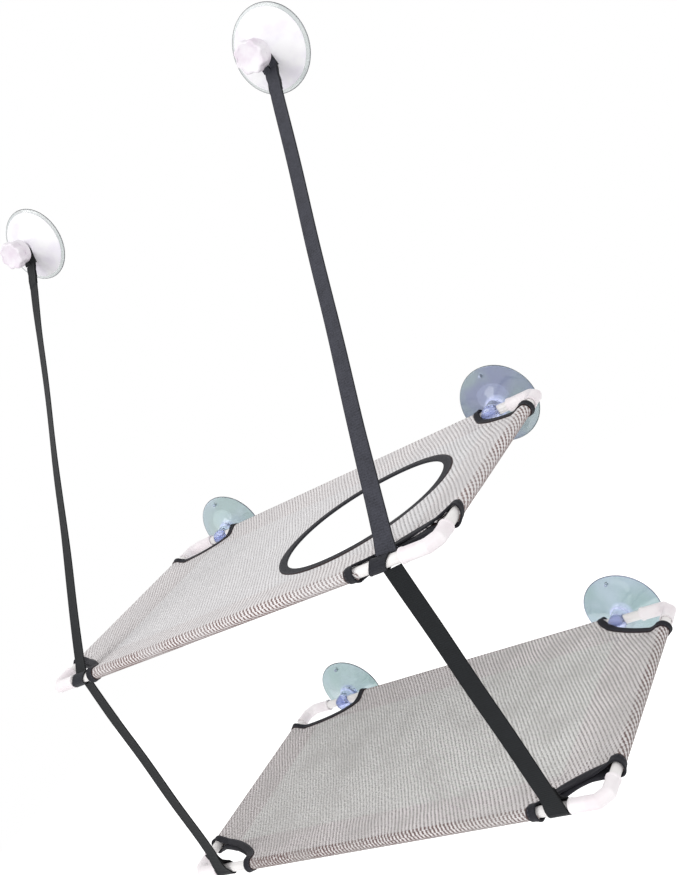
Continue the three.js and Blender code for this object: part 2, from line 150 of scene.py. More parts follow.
def wave(tree, position, pitch):
    """A ripple from -1 to 1 with the given pitch."""
    turns = add(tree, "Math", [position, 2 * math.pi / pitch], operation="MULTIPLY")
    return add(tree, "Math", [turns], operation="SINE")


def moulded_white(name, low, high, roughness, grain_mm, depth_mm):
    """White paint or plastic: a faint cloudiness of colour, and a grain that breaks up its highlights."""
    made, tree = new_material(name)
    place = add(tree, "TexCoord").outputs["Object"]
    # Clouds are about 22 mm across
    cloud = add(tree, "TexNoise", {"Vector": place, "Scale": 45.0, "Detail": 3.0})
    grain = add(tree, "TexNoise", {"Vector": place, "Scale": 1 / (grain_mm * MM), "Detail": 2.0})
    tone = add(tree, "Mix", [add(tree, "MapRange", [cloud, 0.35, 0.65], **SOFT), low, high], **COLOUR)
    return surfaced(made, tone, grain, 0.5, depth_mm, Roughness=roughness, IOR=1.5)


# Powder-coated steel: smooth white with the orange peel of baked powder, 1.6 mm from crest to crest
powder_coat = moulded_white("powder_coated_steel", "#EFECEB", "#F5F2F1", roughness=0.34, grain_mm=1.6, depth_mm=0.03)
# Moulded polypropylene: white and a little soft, with the fine spark-eroded grain of its mould; its faint pink cast is
# painted shade
moulded_pp = moulded_white("moulded_polypropylene", "#F4EBEF", "#FAF5F7", roughness=0.42, grain_mm=0.7, depth_mm=0.02)
# Moulded ABS: harder and glossier white than the fittings
moulded_abs = moulded_white("moulded_abs", "#F3EFF8", "#FCFBFD", roughness=0.3, grain_mm=1.1, depth_mm=0.02)
# Moulded nylon of the knobs: softer white, with darker pink-lilac clouds that are painted shade
moulded_nylon_painted_shade = moulded_white("moulded_nylon_painted_shade", "#E6DAE6", "#F3EFF4", roughness=0.38, grain_mm=1.3, depth_mm=0.03)
# Sewing thread: bonded polyester, mid grey, with a slight shine
sewing_thread = moulded_white("bonded_polyester_thread", "#6B676A", "#837E81", roughness=0.5, grain_mm=0.3,
                              depth_mm=0.05)


def soft_vinyl(name, low, high, thick_tone, rim_shade_tone):
    """Clear soft PVC, pressed: pale grey-green where it is thin and blue-violet where it is thick, with a wet gloss and
    a painted dark line at its rim, the shade that refraction gives there.
    """
    made, tree = new_material(name)
    thick, rim = (add(tree, "Attribute", attribute_name=key).outputs["Fac"] for key in ("thickness", "rim"))
    # Clouds are about 45 mm across
    cloud = add(tree, "TexNoise", {"Vector": add(tree, "TexCoord").outputs["Object"], "Scale": 22.0, "Detail": 2.0})
    tone = add(tree, "Mix", [add(tree, "MapRange", [cloud, 0.35, 0.65], **SOFT), low, high], **COLOUR)
    tone = add(tree, "Mix", [add(tree, "MapRange", [thick, 0.7, 0.86], **SOFT), tone, thick_tone], **COLOUR)
    # Painted shade: a dark line along the rim
    tone = add(tree, "Mix", [rim, tone, rim_shade_tone], **COLOUR)
    return surfaced(made, tone, cloud, 0.25, 0.4, Roughness=0.09, IOR=1.53, Transmission_Weight=0.82, Coat_Weight=0.25,
                    Coat_Roughness=0.06)


# One copy of the vinyl for each cup. The cups are alike: their different tints and brightness are painted light and
# reflection
vinyl = {
    "upper_left": soft_vinyl("clear_soft_pvc", "#B6CACB", "#C1D1DA", "#C6D1F8", "#6C6C84"),
    "lower_left": soft_vinyl("clear_soft_pvc_lower_left", "#A3BABA", "#AFC2C8", "#BECAF6", "#5C5C74"),
    "lower_right": soft_vinyl("clear_soft_pvc_lower_right", "#A2B9BC", "#AFC1CC", "#CDD6F9", "#6C6C9A"),
    "upper_right": soft_vinyl("clear_soft_pvc_upper_right", "#939BB7", "#A3B3B8", "#CDD6F9", "#7F8E90"),
    "top": soft_vinyl("clear_soft_pvc_top", "#DCE2E2", "#E6E9E9", "#DADFEC", "#8D8D93"),
}


def zinc_plate(name, thread_mm):
    """Zinc-plated steel, turned and threaded: a grey metal whose thread stretches its highlights, with painted light on
    the thread's crests and painted shade in its grooves.
    """
    made, tree = new_material(name)
    along = add(tree, "SeparateXYZ", [add(tree, "TexCoord").outputs["Object"]]).outputs["Y"]
    thread = wave(tree, along, thread_mm * MM)
    # Painted light and shade: the thread's crests are drawn lighter and its grooves darker
    tone = add(tree, "Mix", [add(tree, "MapRange", [thread, -1.0, 1.0], **SOFT), "#9B9DA0", "#C6C8CA"], **COLOUR)
    return surfaced(made, tone, thread, 0.8, 0.4, Metallic=1.0, Roughness=0.34)


steel = zinc_plate("zinc_plated_steel", thread_mm=1.0)


def weave(name, dark, light, edge, rib, pick, roughness=0.62, edge_at=9.6, stitch_at=None):
    """Woven polyester: ribs of warp crossed by picks, darker or browner at its selvedges, with a soft sheen."""
    made, tree = new_material(name)
    across, along = (add(tree, "Attribute", attribute_name=key).outputs["Fac"] for key in ("across", "along"))
    ribs = wave(tree, across, rib)
    # The picks of one rib lie between those of the next
    rib_side = add(tree, "Math", [ribs], operation="SIGN")
    shifted = add(tree, "Math", [rib_side, pick / 4, along], operation="MULTIPLY_ADD")
    height = add(tree, "Math", [ribs, wave(tree, shifted, pick)], operation="MULTIPLY")
    # Marks on the cloth are in millimetres: flecks are about 1.8 mm across, and clouds 11 mm
    spot = add(tree, "CombineXYZ", [across, along])
    fleck = add(tree, "TexNoise", {"Vector": spot, "Scale": 0.55, "Detail": 4.0, "Roughness": 0.7})
    cloud = add(tree, "TexNoise", {"Vector": spot, "Scale": 0.09, "Detail": 2.0})
    level = 0.0
    for part, share in ((height, 0.07), (fleck, 0.95), (cloud, 0.3)):
        level = add(tree, "Math", [part, share, level], operation="MULTIPLY_ADD")
    tone = add(tree, "Mix", [add(tree, "MapRange", [level, 0.2, 0.85], **SOFT), dark, light], **COLOUR)
    reach = add(tree, "Math", [across], operation="ABSOLUTE")
    selvedge = add(tree, "MapRange", [reach, edge_at - 1.0, edge_at], **SOFT)
    tone = add(tree, "Mix", [add(tree, "Math", [selvedge, 0.75], operation="MULTIPLY"), tone, edge], **COLOUR)
    if stitch_at is not None:
        # Stitches 3.2 mm from one to the next, in thread 0.8 mm wide
        away = add(tree, "Math", [reach, stitch_at], operation="SUBTRACT")
        line = add(tree, "MapRange", [add(tree, "Math", [away], operation="ABSOLUTE"), 0.5, 0.3], **SOFT)
        dash = add(tree, "MapRange", [wave(tree, along, 3.2), -0.2, 0.3], **SOFT)
        thread = add(tree, "Math", [line, dash], operation="MULTIPLY")
        tone = add(tree, "Mix", [add(tree, "Math", [thread, 0.6], operation="MULTIPLY"), tone, "#5C5B62"], **COLOUR)
        height = add(tree, "Math", [thread, 1.5, height], operation="MULTIPLY_ADD")
    return surfaced(made, tone, height, 0.35, 0.2, Roughness=roughness, Specular_IOR_Level=0.16, Sheen_Weight=0.03,
                    Sheen_Roughness=0.5)


# Woven polyester webbing, charcoal with a light fleck; the real 1 mm ribs are drawn 2.2 mm apart to show
webbing_face = weave("woven_polyester_webbing", "#1A1A1E", "#45464F", "#151518", rib=2.2, pick=2.6)
# A darker copy of the same webbing: on the left hanging strap it is painted shade
webbing_darker = weave("woven_polyester_webbing_back", "#090A0C", "#181B1E", "#070809", rib=2.0, pick=2.2, roughness=0.6)
# The same webbing drawn darker where it is wound round the tube, as painted shade; its ribs keep a little of their
# lighter fleck
webbing_turn_painted_shade = weave("woven_polyester_webbing_turn", "#0F0F12", "#2D2E35", "#0C0C0E", rib=2.1, pick=2.4)
# Binding tape: polyester tape folded over the edge, with a brown cast at its selvedge and one row of stitches
binding_tape = weave("folded_polyester_tape", "#161619", "#2A2A30", "#3A2725", rib=1.3, pick=1.5, roughness=0.7,
                     edge_at=10.2, stitch_at=8.0)

# The ribs of the sling mesh: degrees from straight across, and millimetres from one to the next
RIB_ANGLE, RIB_PITCH = 121, 4.2


def sling_mesh(name, slit, rib, hem_slit, hem_rib, turn_slit, tint, calm, middle, rise, flecked):
    """Vinyl-coated polyester sling mesh: light slanted ribs with dark slits and small cross threads.

    The hems are two layers, so the ribs of the lower one cross behind. Where it turns round a tube it is drawn darker
    and warmer, as painted shade.
    The ribs stand out less at the left than at the right, as calm tells, round a middle share of the rib colour, which
    rises towards the right as painted light, so the cloth is drawn lighter at the right. The middle and its rise are
    each given for the panel and then for the hems.
    """
    made, tree = new_material(name)
    across, along, hem, turn, under = (add(tree, "Attribute", attribute_name=key).outputs["Fac"]
                                       for key in ("across", "along", "hem", "turn", "under"))
    # Ribs wander over about 80 mm, flecks are 2.2 mm across, and clouds 50 mm
    spot = add(tree, "CombineXYZ", [across, along])
    drift = add(tree, "TexNoise", {"Vector": spot, "Scale": 0.012, "Detail": 1.0})

    def reach(angle):
        """Distance over the cloth in a direction, given in degrees from straight across."""
        sideways = add(tree, "Math", [across, math.cos(math.radians(angle))], operation="MULTIPLY")
        return add(tree, "Math", [along, math.sin(math.radians(angle)), sideways], operation="MULTIPLY_ADD")

    def ribs_at(angle):
        """Ribs that run in a direction and wander a little."""
        return wave(tree, add(tree, "Math", [drift, 7.0, reach(angle - 90)], operation="MULTIPLY_ADD"), RIB_PITCH)

    ribs, behind = ribs_at(RIB_ANGLE), ribs_at(180 - RIB_ANGLE)
    aslant = add(tree, "Math", [reach(RIB_ANGLE - 90), 0.5, reach(RIB_ANGLE)], operation="MULTIPLY_ADD")
    level = add(tree, "Math", [wave(tree, aslant, 2.1), 0.45, ribs], operation="MULTIPLY_ADD")
    double = add(tree, "Math", [behind, 0.45, level], operation="MULTIPLY_ADD")
    fleck = add(tree, "TexNoise", {"Vector": spot, "Scale": 0.45, "Detail": 4.0, "Roughness": 0.65})
    speckle = add(tree, "Math", [fleck, flecked, -flecked / 2], operation="MULTIPLY_ADD")
    contrast = add(tree, "MapRange", [across, -230.0, 230.0, *calm])
    # Painted light: the cloth is drawn lighter towards the right
    painted_light_rightward = add(tree, "MapRange", [across, -230.0, 230.0])

    def shared(value, low, high, gain, centre, lift):
        """Share of the rib colour: calmed ribs with the fleck over them."""
        share = add(tree, "Math", [add(tree, "MapRange", [value, low, high], **SOFT), 0.65], operation="SUBTRACT")
        share = add(tree, "Math", [share, contrast], operation="MULTIPLY")
        share = add(tree, "Math", [share, gain, speckle], operation="MULTIPLY_ADD")
        share = add(tree, "Math", [painted_light_rightward, lift, share], operation="MULTIPLY_ADD")
        return add(tree, "Math", [share, centre], operation="ADD")

    tone = add(tree, "Mix", [shared(level, -1.0, 0.25, 1.0, middle[0], rise[0]), slit, rib], **COLOUR)
    hem_share = shared(double, -1.1, 0.5, 1.5, middle[1], rise[1])
    hem_tone = add(tree, "Mix", [hem_share, hem_slit, hem_rib], **COLOUR)
    # Painted shade: a turn round a tube is drawn darker than the hem
    turn_share = shared(double, -1.1, 0.5, 2.4, middle[1] - 0.45, rise[1])
    shaded_turn_tone = add(tree, "Mix", [turn_share, turn_slit, hem_rib], **COLOUR)
    # Painted shade on the underside of a turn round a tube: its slits are drawn dark there
    underside_shade = add(tree, "Math", [under, 0.6], operation="MULTIPLY")
    cloud = add(tree, "TexNoise", {"Vector": spot, "Scale": 0.02, "Detail": 3.0})
    clouded = add(tree, "Math", [add(tree, "MapRange", [cloud, 0.4, 0.7], **SOFT), 0.35], operation="MULTIPLY")
    for share, over in ((hem, hem_tone), (turn, shaded_turn_tone), (underside_shade, turn_slit), (clouded, tint)):
        tone = add(tree, "Mix", [share, tone, over], **COLOUR)
    return surfaced(made, tone, level, 0.8, 0.5, Roughness=0.62, Specular_IOR_Level=0.3)


# The lower shelf's mesh is the same cloth as the upper's, drawn darker: painted shade under the upper shelf
cloth_mesh = {
    "upper": sling_mesh("sling_mesh_upper", "#8F8A8B", "#F7F5F6", "#8B8081", "#F8F4F4", "#7E6562", "#DAD8D9",
                        calm=(0.5, 0.95), middle=(0.86, 0.78), rise=(0.1, 0.4), flecked=3.0),
    "lower": sling_mesh("sling_mesh_lower_painted_shade", "#878583", "#F1F0EE", "#807776", "#F1ECEC", "#705B58", "#B9B6B4",
                        calm=(0.4, 0.8), middle=(0.66, 0.6), rise=(0.16, 0.36), flecked=3.8),
}


# Modelling steps

def smooth(value, low, high):
    """0 below low, 1 above high, and a soft rise between them."""
    way = min(max((value - low) / (high - low), 0), 1)
    return way * way * (3 - 2 * way)


def limited(value):
    """A value kept between 0 and 1."""
    return max(0.0, min(1.0, value))


def opened(name):
    """Names the primitive just added, applies its place, and opens it for editing."""
    piece = bpy.context.object
    piece.name = name
    bpy.ops.object.transform_apply(location=True, rotation=True, scale=True)
    bpy.ops.object.mode_set(mode="EDIT")
    return piece


def select_where(piece, test):
    """Selects the vertices that pass the test, and nothing else."""
    shape = bmesh.from_edit_mesh(piece.data)
    for part in (*shape.faces, *shape.edges):
        part.select = False
    for vertex in shape.verts:
        vertex.select = test(vertex.co)
    shape.select_flush_mode()
    bmesh.update_edit_mesh(piece.data)


def turn_selected(rotation, centre):
    """Turns what is selected about a centre, one world axis after another. Without a window the sign is reversed."""
    for axis, angle in zip("XYZ", rotation.to_euler("XYZ")):
        if abs(angle) > 1e-6:
            bpy.ops.transform.rotate(value=-angle, orient_axis=axis, center_override=centre)


def drawn(name, stations, sides=48, closed=False):
    """A round form drawn ring by ring through stations of (centre, direction, radius).

    Its ends are capped, or where it is closed its last ring is welded to its first.
    """
    bpy.ops.object.select_all(action="DESELECT")
    centre, direction, radius = stations[0]
    bpy.ops.mesh.primitive_circle_add(
        vertices=sides, radius=radius, fill_type="NOTHING" if closed else "TRIFAN", location=centre,
        rotation=direction.to_track_quat("Z", "Y").to_euler())
    piece = opened(name)
    select_where(piece, lambda co: (co - centre).length > radius / 2)
    for following in [*stations[1:], *([stations[0]] if closed else [])]:
        bpy.ops.mesh.extrude_region_move(TRANSFORM_OT_translate={"value": following[0] - centre})
        if (following[1] - direction).length > 1e-6:
            turn_selected(direction.rotation_difference(following[1]), following[0])
        if abs(following[2] - radius) > 1e-6:
            bpy.ops.transform.resize(value=[following[2] / radius] * 3, center_override=following[0])
        centre, direction, radius = following
    if not closed:
        bpy.ops.mesh.extrude_region_move(TRANSFORM_OT_translate={"value": Vector()})
        bpy.ops.mesh.merge(type="CENTER")
    bpy.ops.mesh.select_all(action="SELECT")
    bpy.ops.mesh.remove_doubles(threshold=1e-3)
    bpy.ops.mesh.normals_make_consistent(inside=False)
    bpy.ops.object.mode_set(mode="OBJECT")
    return piece


def turned(name, profile, sides=64, closed=False):
    """A form turned about an axis into the room, from a profile of (radius, distance from the glass), at the origin."""
    return drawn(name, [(ROOM * depth, ROOM, radius) for radius, depth in profile], sides, closed)


def apply_modifier(piece, kind, **settings):
    """Gives a piece one modifier and makes its result the mesh."""
    bpy.context.view_layer.objects.active = piece
    made = piece.modifiers.new(kind, kind)
    for key, value in settings.items():
        setattr(made, key, value)
    bpy.ops.object.modifier_apply(modifier=made.name)


def combine(piece, other, operation):
    """Cuts the other piece out of this one, or welds it on, and removes it."""
    apply_modifier(piece, "BOOLEAN", object=other, operation=operation, solver="EXACT")
    bpy.data.objects.remove(other)
    return piece


def smooth_points(points, steps):
    """A soft curve through points of any size, with a number of steps between each two."""
    points = [Vector(p) for p in points]
    made = []
    for i, (start, end) in enumerate(zip(points, points[1:])):
        before, after = points[max(i - 1, 0)], points[min(i + 2, len(points) - 1)]
        for step in range(steps):
            t = step / steps
            made.append(0.5 * (2 * start + (end - before) * t + (2 * before - 5 * start + 4 * end - after) * t * t
                               + (3 * start - 3 * end + after - before) * t ** 3))
    return [*made, points[-1]]


def finished(piece, look, body, replaces=(), angle=40, move=None):
    """Last steps of a piece: to metres at its place, smooth, in its material, riding on its body."""
    mesh = piece.data
    if move is not None:
        mesh.transform(Matrix.Translation(move))
    mesh.transform(Matrix.Scale(MM, 4))
    bpy.ops.object.select_all(action="DESELECT")
    piece.select_set(True)
    bpy.context.view_layer.objects.active = piece
    bpy.ops.object.shade_smooth_by_angle(angle=math.radians(angle))
    mesh.materials.clear()
    mesh.materials.append(look)
    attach(piece, body)
    if replaces:
        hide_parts(*replaces)
    return piece


def in_scene(name, data, place=None):
    """A new object for a mesh, lamp or camera."""
    made = bpy.data.objects.new(name, data)
    if place is not None:
        made.matrix_world = place
    bpy.context.scene.collection.objects.link(made)
    return made


def from_shape(name, shape):
    """A new object with a bmesh shape as its mesh."""
    mesh = bpy.data.meshes.new(name)
    shape.to_mesh(mesh)
    shape.free()
    return in_scene(name, mesh)


def woven(name, rings, closed_path=False):
    """A strip of cloth through rings of (point, across, along); the last two are its places on the cloth."""
    shape = bmesh.new()
    keys = [shape.verts.layers.float.new(key) for key in ("across", "along")]
    made = [[shape.verts.new(spot[0]) for spot in ring] for ring in rings]
    for vertices, ring in zip(made, rings):
        for vertex, (_, *places) in zip(vertices, ring):
            for key, place in zip(keys, places):
                vertex[key] = place
    sides = len(rings[0])
    for ring, following in zip(made, [*made[1:], *made[:1]] if closed_path else made[1:]):
        for j in range(sides):
            k = (j + 1) % sides
            shape.faces.new((ring[j], ring[k], following[k], following[j]))
    if not closed_path:
        shape.faces.new(made[0][::-1])
        shape.faces.new(made[-1])
    bmesh.ops.recalc_face_normals(shape, faces=shape.faces)
    return from_shape(name, shape)


# Cross-section of webbing: shares of half the width, and of half the thickness, with raised selvedges
WEB_BACK = [(-1, -0.3), (-0.97, -0.85), (-0.9, -1), (-0.84, -0.82), (-0.5, -0.82), (0, -0.82), (0.5, -0.82),
            (0.84, -0.82), (0.9, -1), (0.97, -0.85), (1, -0.3)]
WEB_OUTLINE = [*WEB_BACK, *((a, -t) for a, t in reversed(WEB_BACK))]
WEB_W, WEB_T = 20, 1.4


def strap_rings(stations):
    """Rings of webbing through stations of (centre, across direction, face direction, width, thickness)."""
    rings, length, before = [], 0.0, stations[0][0]
    for centre, across, face, width, thickness in stations:
        length += (centre - before).length
        before = centre
        rings.append([(centre + across * (a * width / 2) + face * (t * thickness / 2), a * WEB_W / 2, length)
                      for a, t in WEB_OUTLINE])
    return rings


# Camera, floor and light

def camera():
    """The photograph's camera, as fitted to the frames' corners, the straps' ends and the cups' outlines."""
    data = bpy.data.cameras.new("camera")
    data.sensor_width = 36
    data.lens = 45.235
    data.clip_start, data.clip_end = 0.01, 50
    across, up, back = (0.71829, 0.42735, -0.54903), (0.35286, 0.45635, 0.81685), (0.59963, -0.78046, 0.17700)
    turn = Matrix((across, up, back)).transposed().to_quaternion()
    place = Matrix.LocRotScale(Vector((0.83338, -1.06935, 0.28853)), turn, None)
    bpy.context.scene.camera = in_scene("camera", data, place)


def seen_directly(tree):
    """1 for what the camera sees straight, in a reflection or through clear vinyl, and 0 for light on the object."""
    path = add(tree, "LightPath").outputs
    seen = add(tree, "Math", [path["Is Camera Ray"], path["Is Glossy Ray"]], operation="MAXIMUM")
    return add(tree, "Math", [seen, path["Is Transmission Ray"]], operation="MAXIMUM")


def studio():
    """A plain white room: pale floor, white surroundings, and three soft lamps."""
    dimmed, floor_glow = 0.72, 0.62
    world = bpy.data.worlds.new("white_surroundings")
    bpy.context.scene.world = world
    tree = emptied(world)
    # The surroundings show as plain white, and light the object less
    strength = add(tree, "MapRange", {"Value": seen_directly(tree), "To Min": dimmed, "To Max": 1.0})
    add(tree, "OutputWorld", {"Surface": add(tree, "Background", ["#FFFFFF", strength])})

    # The floor takes the shadow, and is lifted towards white where it is seen
    bpy.ops.object.select_all(action="DESELECT")
    bpy.ops.mesh.primitive_plane_add(size=7, location=(0, -0.5, -1.15))
    floor = bpy.context.object
    floor.name = "floor"
    pale, tree = new_material("pale_floor")
    matt = add(tree, "BsdfDiffuse", ["#F2F2F2"])
    shown = add(tree, "Math", [seen_directly(tree), floor_glow], operation="MULTIPLY")
    glow = add(tree, "Emission", ["#FFFFFF", shown])
    add(tree, "OutputMaterial", {"Surface": add(tree, "AddShader", [matt, glow])})
    floor.data.materials.append(pale)

    aim = Vector((0, -0.15, 0))
    for name, place, size, power in (("key", (-0.9, -1.9, 1.9), 1.6, 21), ("fill", (1.8, -1.4, 0.9), 1.6, 10),
                                     ("low", (0.1, -1.6, -0.8), 1.4, 5)):
        data = bpy.data.lights.new(name, "AREA")
        data.size, data.energy = size, power
        away = Vector(place) - aim
        in_scene(name, data, Matrix.LocRotScale(Vector(place), away.to_track_quat("Z", "Y"), None))


bpy.context.scene.view_settings.view_transform = "Standard"
camera()
studio()


# Tubes and elbows

def tube(name, start, end):
    """A steel tube 0.9 mm thick, with its outer edge rolled at each end."""
    along = (end - start).normalized()
    bore, lip, roll = TUBE_R - 0.9, TUBE_R - 0.3, along * 0.3
    edge = [(start, bore), (start, lip), (start + roll, TUBE_R), (end - roll, TUBE_R), (end, lip), (end, bore)]
    return drawn(name, [(centre, along, radius) for centre, radius in edge], 40, closed=True)


def elbow(name, corner, leg_x, leg_y):
    """A bevelled corner fitting: blind sockets in both legs, a raised rim at each mouth, and a softened bevel."""
    reach_x, reach_y, shell, bend = 38, 28.5, 7.3, 9.5

    def leg(direction, facing, reach):
        """Stations from the bottom of a socket out to its rim and back along the leg."""
        profile = [(5.8, 12), (5.8, reach - 0.6), (6.1, reach), (7.4, reach), (7.8, reach - 0.4), (7.8, reach - 2.6),
                   (7.6, reach - 3), (7.35, reach - 3.2), (shell, reach - 4), (shell, 20)]
        return [(corner + direction * away, facing, radius) for radius, away in profile]

    middle = (leg_y - leg_x).normalized()
    kinks = [(corner + leg_x * bend, (middle - leg_x).normalized()),
             (corner + leg_y * bend, (middle + leg_y).normalized())]
    piece = drawn(name, [*leg(leg_x, -leg_x, reach_x), *((centre, facing, shell) for centre, facing in kinks),
                         *reversed(leg(leg_y, leg_y, reach_y))], 40)
    # Each kink's ring is widened to a full mitre and softened
    bpy.context.view_layer.objects.active = piece
    bpy.ops.object.mode_set(mode="EDIT")
    mitre = 1 / math.cos(math.radians(22.5))
    for centre, facing in kinks:
        select_where(piece, lambda co: abs((co - centre).dot(facing)) < 0.01 and (co - centre).length < 9)
        bpy.ops.transform.resize(value=(mitre, mitre, 1), center_override=centre)
        bpy.ops.mesh.bevel(offset=1, segments=3, affect="EDGES")
    bpy.ops.object.mode_set(mode="OBJECT")
    return piece


def frame_pieces(tier):
    """Tubes and elbows of one shelf."""
    body = f"{tier}_shelf"
    middle = Vector((0, -GLASS, TIERS[tier]))
    # A tube ends this far from its corner, in the elbow's socket
    stop = 12.5
    rails = {row: [(s * (HALF_WIDTH - stop), y, 0) for s in (-1, 1)] for row, y in ROWS.items()}
    rails |= {side: [(sign * HALF_WIDTH, y, 0) for y in (-DEPTH + stop, -stop)] for side, sign in SIDES.items()}
    for rail, ends in rails.items():
        piece = tube(f"{tier}_{rail}_rail", *(middle + Vector(end) for end in ends))
        finished(piece, powder_coat, body, [f"{tier}_{rail}_tube"])
    for row, y in ROWS.items():
        inward = Vector((0, -1 if row == "back" else 1, 0))
        for side, sign in SIDES.items():
            corner = middle + Vector((sign * HALF_WIDTH, y, 0))
            piece = elbow(f"{tier}_{row}_{side}_corner", corner, EAST * -sign, inward)
            finished(piece, moulded_pp, body, [f"{tier}_{row}_{side}_elbow"])


# Mesh cloth

def loop_section(hem, radius):
    """Where a hem's straight side leaves the circle round the tube: distance from the tube's axis, and height."""
    along = radius * radius / hem
    return along, math.sqrt(max(radius * radius - along * along, 0))


def loop_height(distance, hem, radius, tip):
    """Height of a hem loop's side above the shelf's plane, at a distance from the tube's axis towards the seam."""
    touch, top = loop_section(hem, radius)
    if distance >= hem:
        return tip
    if distance <= touch:
        return math.sqrt(max(radius * radius - distance * distance, 0))
    return top + (tip - top) * (distance - touch) / (hem - touch)


def hem_line(hem):
    """Points of a hem from its seam outward: (distance from the tube's axis, height, length of cloth, layer)."""
    touch, top = loop_section(hem, SLEEVE_R)
    slope = math.hypot(hem - touch, top - SEAM)
    begin, turns = math.atan2(top, touch), 14
    arc = 2 * math.pi - 2 * begin
    around = slope + SLEEVE_R * arc
    count = max(round((hem - touch) / GRID), 2)
    shares = [i / count for i in range(count + 1)]
    made = [(hem + (touch - hem) * share, SEAM + (top - SEAM) * share, slope * share, TOP) for share in shares]
    for i in range(1, turns):
        angle = begin + arc * i / turns
        made.append((SLEEVE_R * math.cos(angle), SLEEVE_R * math.sin(angle), slope + SLEEVE_R * (angle - begin), TURN))
    return made + [(touch + (hem - touch) * share, -top + (top - FLAP) * share, around + slope * share, BELOW)
                   for share in shares]


def cloth_line(low, high, low_hem, high_hem):
    """Points of a cloth from edge to edge with its hems: (place, height, place on the flat cloth, layer)."""
    start, inner = low + low_hem, high - low - low_hem - high_hem
    count = round(inner / GRID)
    panel = [start + inner * i / count for i in range(1, count)]
    return [*((low + away, z, start - run, layer) for away, z, run, layer in reversed(hem_line(low_hem))),
            *((place, SEAM, place, TOP) for place in panel),
            *((high - away, z, high - high_hem + run, layer) for away, z, run, layer in hem_line(high_hem))]


def hems_at(tier, row, side):
    """Widths of the side hem and the end hem that meet at a corner."""
    return SIDE_HEMS[tier][side == "right"], (BACK_HEM if row == "back" else FRONT_HEM)


def nearest_corner(x, y):
    """Names of the row and the side of the corner nearest to a point of a cloth."""
    return ("back" if y > -DEPTH / 2 else "front"), ("right" if x > 0 else "left")


def cut_at(tier, x, y, z):
    """The cut-out nearest to a point of a cloth, as the corner, both reaches at that height, and the power."""
    row, side = nearest_corner(x, y)
    reach_x, reach_y, power, slant = CUTS[f"{tier}_{row}_{side}"]
    below = min(max(0.5 - z / (2 * SLEEVE_R), 0), 1)
    return SIDES[side] * HALF_WIDTH, ROWS[row], reach_x, reach_y - slant * below, power


def cut_share(tier, x, y, z, grow):
    """Below 1 inside a corner cut-out that has been let out by some millimetres, in the shelf's own frame."""
    edge, end, reach_x, reach_y, power = cut_at(tier, x, y, z)
    return (abs(x - edge) / (reach_x + grow)) ** power + (abs(y - end) / (reach_y + grow)) ** power


def hole_share(x, y, grow):
    """Below 1 inside the oval hole when it has been let out by some millimetres."""
    away = Vector((x - HOLE["x"], y - HOLE["y"]))
    away.rotate(Matrix.Rotation(-HOLE["turn"], 2))
    return math.hypot(away.x / (HOLE["long"] + grow), away.y / (HOLE["short"] + grow))


def bound_hems(tier, row, side, a, b):
    """Lengths of the side hem's and end hem's loops at distances from a corner: short beside its bound cut-out.

    The loops are bound up to 10 mm from the cut-out's edge, and have their full length from 30 mm on and over a tube.
    """
    reach_x, reach_y, power, _ = CUTS[f"{tier}_{row}_{side}"]
    share = ((a / reach_x) ** power + (b / reach_y) ** power) ** (1 / power)
    away = math.hypot(a, b) * (1 - 1 / max(share, 0.2))
    held = (1 - smooth(away, 10, 30)) * smooth(min(a, b), 2, 8)
    rim, inner, *_ = BOUND[f"{tier}_{row}_{side}"]
    bound = rim + (inner - rim) * smooth(away, 0, 9)
    return [hem + (min(bound, hem) - hem) * held for hem in hems_at(tier, row, side)]


def under_lap(tier, side, a):
    """How far an end flap hangs below a side flap: by the cloth's thickness where they lap, and nothing at the tube."""
    hem = SIDE_HEMS[tier][side == "right"]
    return (CLOTH_T + 0.05) * (1 - smooth(a, hem, hem + 6)) * smooth(a, 3, 13)


